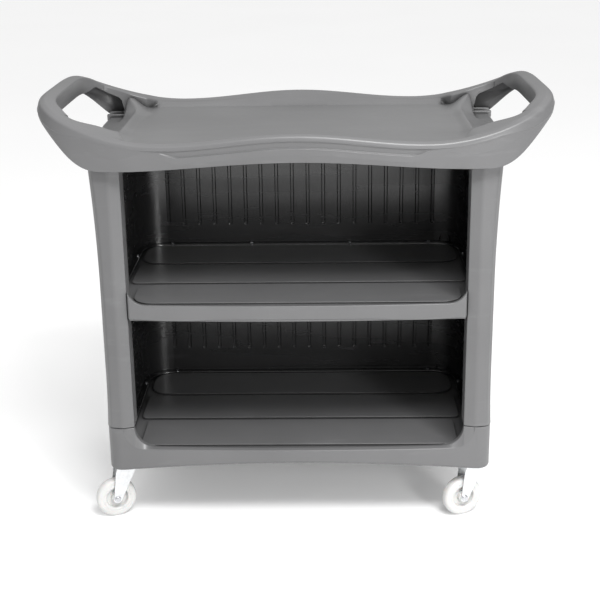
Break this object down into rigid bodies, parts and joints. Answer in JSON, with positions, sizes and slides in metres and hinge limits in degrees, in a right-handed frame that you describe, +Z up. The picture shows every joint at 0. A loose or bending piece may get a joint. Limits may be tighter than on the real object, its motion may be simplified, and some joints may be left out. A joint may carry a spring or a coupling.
{
  "type": "food service trolley",
  "caption": "Food service trolley: shelves enclosed on three sides, a deep top tray with looped end handles, and swivel casters that turn and roll.",
  "frame": {"origin": "on the floor under the centre of the trolley", "axes": "+X along the trolley's length, open front faces -Y, +Z up"},
  "size_m": [1.076, 0.58, 0.9315],
  "materials": {
    "grey_plastic": "moulded polypropylene, fine texture, semi-gloss",
    "dark_panel_plastic": "moulded polypropylene, fine texture, satin",
    "wheel_nylon": "moulded nylon, satin",
    "zinc_steel": "zinc-plated pressed steel",
    "steel": "bright steel"
  },
  "bodies": {
    "trolley": {"top_tray": "grey_plastic", "middle_shelf": "grey_plastic", "base_shelf": "grey_plastic", "post_front_left": "grey_plastic", "post_front_right": "grey_plastic", "post_rear_left": "grey_plastic", "post_rear_right": "grey_plastic", "back_panel_upper": "dark_panel_plastic", "back_panel_lower": "dark_panel_plastic", "left_panel_upper": "dark_panel_plastic", "left_panel_lower": "dark_panel_plastic", "right_panel_upper": "dark_panel_plastic", "right_panel_lower": "dark_panel_plastic", "post_screws": "steel", "shelf_screws": "steel", "panel_screws": "steel", "caster_bolts": "steel", "caster_fl_plate": "zinc_steel", "caster_fl_kingpin": "steel", "caster_fr_plate": "zinc_steel", "caster_fr_kingpin": "steel", "caster_rl_plate": "zinc_steel", "caster_rl_kingpin": "steel", "caster_rr_plate": "zinc_steel", "caster_rr_kingpin": "steel"},
    "swivel_fl": {"caster_fl_fork": "zinc_steel", "caster_fl_balls": "steel", "caster_fl_bush": "steel", "caster_fl_axle_bolt": "steel", "caster_fl_axle_nut": "steel"},
    "wheel_fl": {"caster_fl_wheel": "wheel_nylon"},
    "swivel_fr": {"caster_fr_fork": "zinc_steel", "caster_fr_balls": "steel", "caster_fr_bush": "steel", "caster_fr_axle_bolt": "steel", "caster_fr_axle_nut": "steel"},
    "wheel_fr": {"caster_fr_wheel": "wheel_nylon"},
    "swivel_rl": {"caster_rl_fork": "zinc_steel", "caster_rl_balls": "steel", "caster_rl_bush": "steel", "caster_rl_axle_bolt": "steel", "caster_rl_axle_nut": "steel"},
    "wheel_rl": {"caster_rl_wheel": "wheel_nylon"},
    "swivel_rr": {"caster_rr_fork": "zinc_steel", "caster_rr_balls": "steel", "caster_rr_bush": "steel", "caster_rr_axle_bolt": "steel", "caster_rr_axle_nut": "steel"},
    "wheel_rr": {"caster_rr_wheel": "wheel_nylon"}
  },
  "joints": [
    {"name": "front_left_swivel", "type": "hinge", "parent": "trolley", "child": "swivel_fl", "pos_m": [-0.386, -0.205, 0.125], "axis": [0, 0, 1], "continuous": true},
    {"name": "front_left_roll", "type": "hinge", "parent": "swivel_fl", "child": "wheel_fl", "pos_m": [-0.41196, -0.21549, 0.045], "axis": [-0.3746, 0.9272, 0], "continuous": true},
    {"name": "front_right_swivel", "type": "hinge", "parent": "trolley", "child": "swivel_fr", "pos_m": [0.386, -0.205, 0.125], "axis": [0, 0, 1], "continuous": true},
    {"name": "front_right_roll", "type": "hinge", "parent": "swivel_fr", "child": "wheel_fr", "pos_m": [0.36004, -0.21549, 0.045], "axis": [-0.3746, 0.9272, 0], "continuous": true},
    {"name": "rear_left_swivel", "type": "hinge", "parent": "trolley", "child": "swivel_rl", "pos_m": [-0.386, 0.205, 0.125], "axis": [0, 0, 1], "continuous": true},
    {"name": "rear_left_roll", "type": "hinge", "parent": "swivel_rl", "child": "wheel_rl", "pos_m": [-0.41196, 0.19451, 0.045], "axis": [-0.3746, 0.9272, 0], "continuous": true},
    {"name": "rear_right_swivel", "type": "hinge", "parent": "trolley", "child": "swivel_rr", "pos_m": [0.386, 0.205, 0.125], "axis": [0, 0, 1], "continuous": true},
    {"name": "rear_right_roll", "type": "hinge", "parent": "swivel_rr", "child": "wheel_rr", "pos_m": [0.36004, 0.19451, 0.045], "axis": [-0.3746, 0.9272, 0], "continuous": true}
  ]
}
